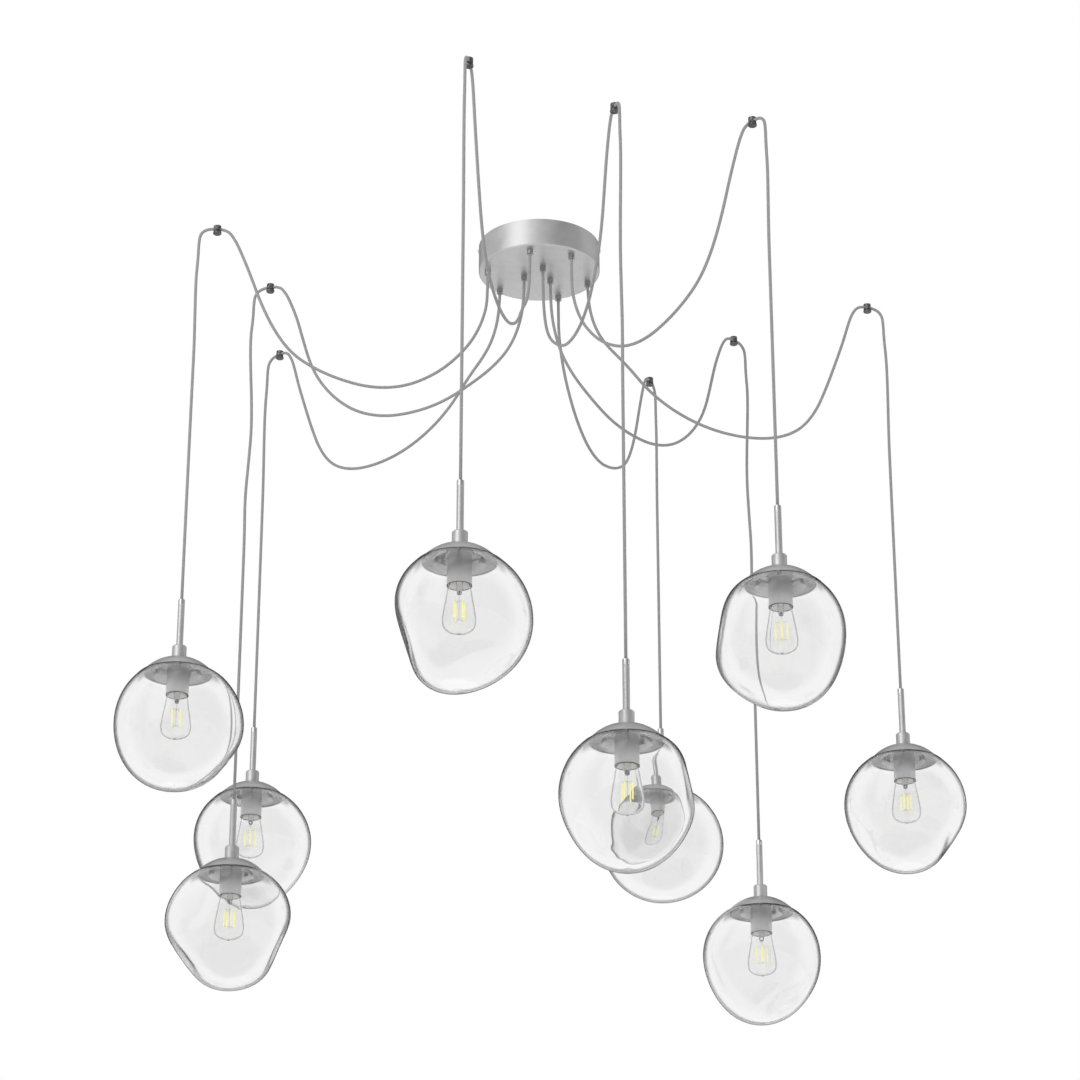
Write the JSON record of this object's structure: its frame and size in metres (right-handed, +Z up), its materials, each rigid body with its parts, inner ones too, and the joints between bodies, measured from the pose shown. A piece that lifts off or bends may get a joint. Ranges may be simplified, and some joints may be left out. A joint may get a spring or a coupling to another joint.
{
  "type": "cluster pendant light",
  "caption": "Ceiling light: one round canopy feeds swagged cords over ceiling hooks down to hanging lamps with domed caps and clear dented glass globes.",
  "frame": {"origin": "on the ceiling plane, on the canopy's axis, at the top face of its bracket", "axes": "+Z up into the ceiling, +X along the bracket bar, -Y towards the viewer of the picture"},
  "size_m": [1.6552, 1.6395, 1.512],
  "materials": {
    "satin_silver": "satin silver lacquer on steel, lightly brushed",
    "zinc_steel": "plain zinc-plated steel",
    "chrome": "polished",
    "gunmetal": "dark nickel, satin",
    "wiring": "pale insulating plastic",
    "cord_braid": "grey woven textile sleeve",
    "clear_glass": "clear, mouth-blown, polished",
    "bulb_glass": "clear bulb with pale filaments"
  },
  "bodies": {
    "canopy": {"canopy_cover": "satin_silver", "ceiling_bracket": "zinc_steel", "cover_screws": "chrome", "cord_glands": "chrome", "ceiling_hooks": "gunmetal", "canopy_wiring": "wiring", "swag_cord_1": "cord_braid", "swag_cord_2": "cord_braid", "swag_cord_3": "cord_braid", "swag_cord_4": "cord_braid", "swag_cord_5": "cord_braid", "swag_cord_6": "cord_braid", "swag_cord_7": "cord_braid", "swag_cord_8": "cord_braid", "swag_cord_9": "cord_braid"},
    "drop_1": {"drop_cord_1": "cord_braid"},
    "lamp_1": {"fitting_1": "satin_silver", "socket_1": "satin_silver"},
    "globe_1": {"glass_1": "clear_glass"},
    "bulb_unit_1": {"bulb_1": "bulb_glass"},
    "drop_2": {"drop_cord_2": "cord_braid"},
    "lamp_2": {"fitting_2": "satin_silver", "socket_2": "satin_silver"},
    "globe_2": {"glass_2": "clear_glass"},
    "bulb_unit_2": {"bulb_2": "bulb_glass"},
    "drop_3": {"drop_cord_3": "cord_braid"},
    "lamp_3": {"fitting_3": "satin_silver", "socket_3": "satin_silver"},
    "globe_3": {"glass_3": "clear_glass"},
    "bulb_unit_3": {"bulb_3": "bulb_glass"},
    "drop_4": {"drop_cord_4": "cord_braid"},
    "lamp_4": {"fitting_4": "satin_silver", "socket_4": "satin_silver"},
    "globe_4": {"glass_4": "clear_glass"},
    "bulb_unit_4": {"bulb_4": "bulb_glass"},
    "drop_5": {"drop_cord_5": "cord_braid"},
    "lamp_5": {"fitting_5": "satin_silver", "socket_5": "satin_silver"},
    "globe_5": {"glass_5": "clear_glass"},
    "bulb_unit_5": {"bulb_5": "bulb_glass"},
    "drop_6": {"drop_cord_6": "cord_braid"},
    "lamp_6": {"fitting_6": "satin_silver", "socket_6": "satin_silver"},
    "globe_6": {"glass_6": "clear_glass"},
    "bulb_unit_6": {"bulb_6": "bulb_glass"},
    "drop_7": {"drop_cord_7": "cord_braid"},
    "lamp_7": {"fitting_7": "satin_silver", "socket_7": "satin_silver"},
    "globe_7": {"glass_7": "clear_glass"},
    "bulb_unit_7": {"bulb_7": "bulb_glass"},
    "drop_8": {"drop_cord_8": "cord_braid"},
    "lamp_8": {"fitting_8": "satin_silver", "socket_8": "satin_silver"},
    "globe_8": {"glass_8": "clear_glass"},
    "bulb_unit_8": {"bulb_8": "bulb_glass"},
    "drop_9": {"drop_cord_9": "cord_braid"},
    "lamp_9": {"fitting_9": "satin_silver", "socket_9": "satin_silver"},
    "globe_9": {"glass_9": "clear_glass"},
    "bulb_unit_9": {"bulb_9": "bulb_glass"}
  },
  "joints": [
    {"name": "swing_1", "type": "hinge", "parent": "canopy", "child": "drop_1", "pos_m": [-0.13492, -0.7652, -0.075], "axis": [-0.9848, 0.1736, 0], "range_deg": [-10, 10]},
    {"name": "swing_2", "type": "hinge", "parent": "canopy", "child": "drop_2", "pos_m": [0.15047, -0.60352, -0.075], "axis": [-0.9703, -0.2419, 0], "range_deg": [-10, 10]},
    {"name": "swing_3", "type": "hinge", "parent": "canopy", "child": "drop_3", "pos_m": [0.42665, -0.54609, -0.075], "axis": [-0.788, -0.6157, 0], "range_deg": [-10, 10]},
    {"name": "swing_4", "type": "hinge", "parent": "canopy", "child": "drop_4", "pos_m": [0.73014, 0.26575, -0.075], "axis": [0.342, -0.9397, 0], "range_deg": [-10, 10]},
    {"name": "swing_5", "type": "hinge", "parent": "canopy", "child": "drop_5", "pos_m": [0.44743, 0.43208, -0.075], "axis": [0.6947, -0.7193, 0], "range_deg": [-10, 10]},
    {"name": "swing_6", "type": "hinge", "parent": "canopy", "child": "drop_6", "pos_m": [0.2596, 0.64254, -0.075], "axis": [0.9272, -0.3746, 0], "range_deg": [-10, 10]},
    {"name": "swing_7", "type": "hinge", "parent": "canopy", "child": "drop_7", "pos_m": [-0.59522, 0.49945, -0.075], "axis": [0.6428, 0.766, 0], "range_deg": [-10, 10]},
    {"name": "swing_8", "type": "hinge", "parent": "canopy", "child": "drop_8", "pos_m": [-0.59791, 0.17145, -0.075], "axis": [0.2756, 0.9613, 0], "range_deg": [-10, 10]},
    {"name": "swing_9", "type": "hinge", "parent": "canopy", "child": "drop_9", "pos_m": [-0.68626, -0.09645, -0.075], "axis": [-0.1392, 0.9903, 0], "range_deg": [-10, 10]},
    {"name": "turn_1", "type": "hinge", "parent": "drop_1", "child": "lamp_1", "pos_m": [-0.13492, -0.7652, -0.8645], "axis": [0, 0, 1], "range_deg": [-90, 90], "stiffness_Nm_per_rad": 0.02},
    {"name": "turn_2", "type": "hinge", "parent": "drop_2", "child": "lamp_2", "pos_m": [0.15047, -0.60352, -1.131], "axis": [0, 0, 1], "range_deg": [-90, 90], "stiffness_Nm_per_rad": 0.02},
    {"name": "turn_3", "type": "hinge", "parent": "drop_3", "child": "lamp_3", "pos_m": [0.42665, -0.54609, -0.816], "axis": [0, 0, 1], "range_deg": [-90, 90], "stiffness_Nm_per_rad": 0.02},
    {"name": "turn_4", "type": "hinge", "parent": "drop_4", "child": "lamp_4", "pos_m": [0.73014, 0.26575, -0.8645], "axis": [0, 0, 1], "range_deg": [-90, 90], "stiffness_Nm_per_rad": 0.02},
    {"name": "turn_5", "type": "hinge", "parent": "drop_5", "child": "lamp_5", "pos_m": [0.44743, 0.43208, -1.131], "axis": [0, 0, 1], "range_deg": [-90, 90], "stiffness_Nm_per_rad": 0.02},
    {"name": "turn_6", "type": "hinge", "parent": "drop_6", "child": "lamp_6", "pos_m": [0.2596, 0.64254, -0.816], "axis": [0, 0, 1], "range_deg": [-90, 90], "stiffness_Nm_per_rad": 0.02},
    {"name": "turn_7", "type": "hinge", "parent": "drop_7", "child": "lamp_7", "pos_m": [-0.59522, 0.49945, -0.8645], "axis": [0, 0, 1], "range_deg": [-90, 90], "stiffness_Nm_per_rad": 0.02},
    {"name": "turn_8", "type": "hinge", "parent": "drop_8", "child": "lamp_8", "pos_m": [-0.59791, 0.17145, -1.131], "axis": [0, 0, 1], "range_deg": [-90, 90], "stiffness_Nm_per_rad": 0.02},
    {"name": "turn_9", "type": "hinge", "parent": "drop_9", "child": "lamp_9", "pos_m": [-0.68626, -0.09645, -0.816], "axis": [0, 0, 1], "range_deg": [-90, 90], "stiffness_Nm_per_rad": 0.02},
    {"name": "glass_off_1", "type": "slide", "parent": "lamp_1", "child": "globe_1", "axis": [0, 0, -1], "range_m": [0, 0.15]},
    {"name": "glass_off_2", "type": "slide", "parent": "lamp_2", "child": "globe_2", "axis": [0, 0, -1], "range_m": [0, 0.15]},
    {"name": "glass_off_3", "type": "slide", "parent": "lamp_3", "child": "globe_3", "axis": [0, 0, -1], "range_m": [0, 0.15]},
    {"name": "glass_off_4", "type": "slide", "parent": "lamp_4", "child": "globe_4", "axis": [0, 0, -1], "range_m": [0, 0.15]},
    {"name": "glass_off_5", "type": "slide", "parent": "lamp_5", "child": "globe_5", "axis": [0, 0, -1], "range_m": [0, 0.15]},
    {"name": "glass_off_6", "type": "slide", "parent": "lamp_6", "child": "globe_6", "axis": [0, 0, -1], "range_m": [0, 0.15]},
    {"name": "glass_off_7", "type": "slide", "parent": "lamp_7", "child": "globe_7", "axis": [0, 0, -1], "range_m": [0, 0.15]},
    {"name": "glass_off_8", "type": "slide", "parent": "lamp_8", "child": "globe_8", "axis": [0, 0, -1], "range_m": [0, 0.15]},
    {"name": "glass_off_9", "type": "slide", "parent": "lamp_9", "child": "globe_9", "axis": [0, 0, -1], "range_m": [0, 0.15]},
    {"name": "bulb_out_1", "type": "slide", "parent": "lamp_1", "child": "bulb_unit_1", "axis": [0, 0, -1], "range_m": [0, 0.048]},
    {"name": "bulb_out_2", "type": "slide", "parent": "lamp_2", "child": "bulb_unit_2", "axis": [0, 0, -1], "range_m": [0, 0.048]},
    {"name": "bulb_out_3", "type": "slide", "parent": "lamp_3", "child": "bulb_unit_3", "axis": [0, 0, -1], "range_m": [0, 0.048]},
    {"name": "bulb_out_4", "type": "slide", "parent": "lamp_4", "child": "bulb_unit_4", "axis": [0, 0, -1], "range_m": [0, 0.048]},
    {"name": "bulb_out_5", "type": "slide", "parent": "lamp_5", "child": "bulb_unit_5", "axis": [0, 0, -1], "range_m": [0, 0.048]},
    {"name": "bulb_out_6", "type": "slide", "parent": "lamp_6", "child": "bulb_unit_6", "axis": [0, 0, -1], "range_m": [0, 0.048]},
    {"name": "bulb_out_7", "type": "slide", "parent": "lamp_7", "child": "bulb_unit_7", "axis": [0, 0, -1], "range_m": [0, 0.048]},
    {"name": "bulb_out_8", "type": "slide", "parent": "lamp_8", "child": "bulb_unit_8", "axis": [0, 0, -1], "range_m": [0, 0.048]},
    {"name": "bulb_out_9", "type": "slide", "parent": "lamp_9", "child": "bulb_unit_9", "axis": [0, 0, -1], "range_m": [0, 0.048]}
  ]
}
